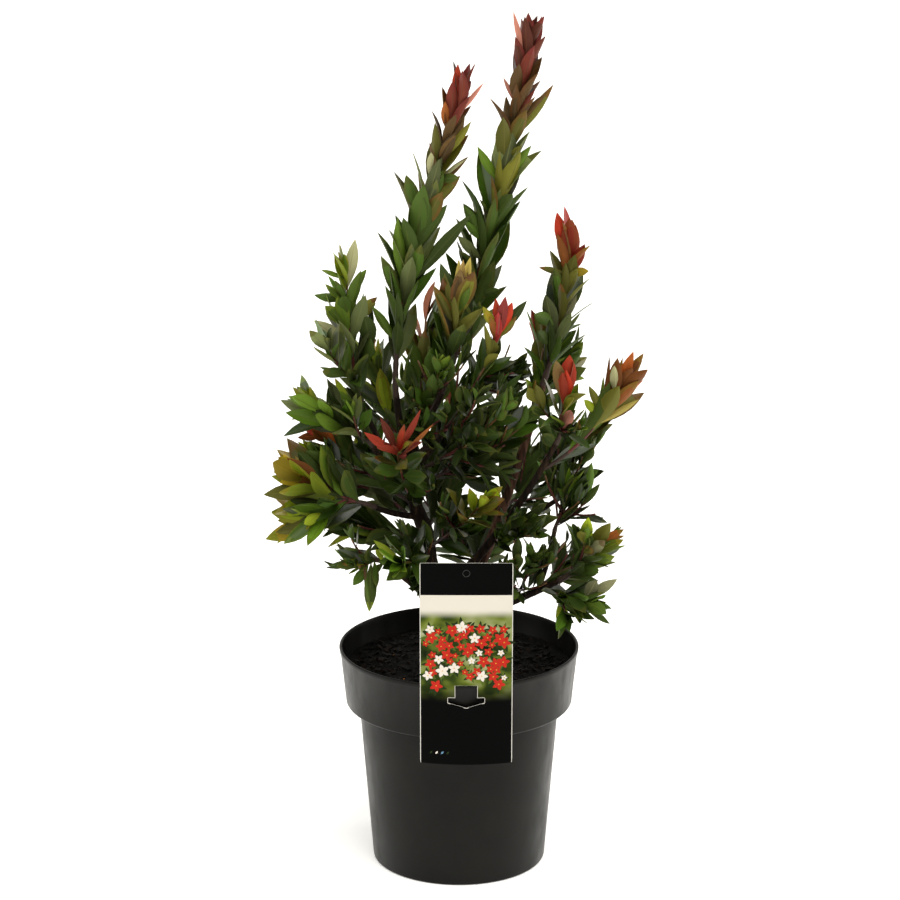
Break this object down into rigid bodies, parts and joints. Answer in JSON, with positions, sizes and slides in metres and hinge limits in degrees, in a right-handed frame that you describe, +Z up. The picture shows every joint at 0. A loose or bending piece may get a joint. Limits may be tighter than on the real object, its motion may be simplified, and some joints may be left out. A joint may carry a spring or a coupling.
{
  "type": "potted bottlebrush plant",
  "caption": "Young bottlebrush shrub with upright leafy leaders and red new growth, in a round dark nursery pot with a hang-on label.",
  "frame": {"origin": "centre of the pot's flat underside", "axes": "+Z up the pot's axis, -Y towards the side the label hangs on, +X to the right of someone who faces the label"},
  "size_m": [0.3224, 0.2418, 0.7361],
  "materials": {
    "pot": "satin",
    "potting_mix": "rough",
    "label": "gloss",
    "bark": "rough",
    "foliage": "satin"
  },
  "bodies": {
    "root": {"pot": "pot", "potting_mix": "potting_mix", "plant_label": "label", "trunk": "bark", "second_stem": "bark", "low_left_bough": "bark", "low_right_bough": "bark", "front_right_bough": "bark", "high_bough": "bark", "tall_bough": "bark", "upper_left_bough": "bark", "mid_left_bough": "bark", "left_bough": "bark", "right_bough": "bark", "right_riser": "bark", "back_bough": "bark", "foliage_high_leader": "foliage", "foliage_left_leader": "foliage", "foliage_right_leader": "foliage", "foliage_upper_left": "foliage", "foliage_mid_left": "foliage", "foliage_left_bud": "foliage", "foliage_left": "foliage", "foliage_low_left": "foliage", "foliage_low_left_fan": "foliage", "foliage_low_front": "foliage", "foliage_front_rosette": "foliage", "foliage_front_bronze": "foliage", "foliage_upper_front": "foliage", "foliage_upper_right": "foliage", "foliage_right_bud": "foliage", "foliage_far_right": "foliage", "foliage_right": "foliage", "foliage_low_right": "foliage", "foliage_lowest_right": "foliage", "foliage_right_middle": "foliage", "foliage_low_back": "foliage", "foliage_low_inner": "foliage", "foliage_inner_left": "foliage", "foliage_inner_right": "foliage", "foliage_front_gold": "foliage", "foliage_centre": "foliage", "foliage_low_centre": "foliage", "foliage_back_left_high": "foliage", "foliage_back_left": "foliage", "foliage_back_crown": "foliage", "foliage_back_middle": "foliage", "foliage_back_low": "foliage", "foliage_back_right_high": "foliage", "foliage_back_right": "foliage"}
  },
  "joints": []
}
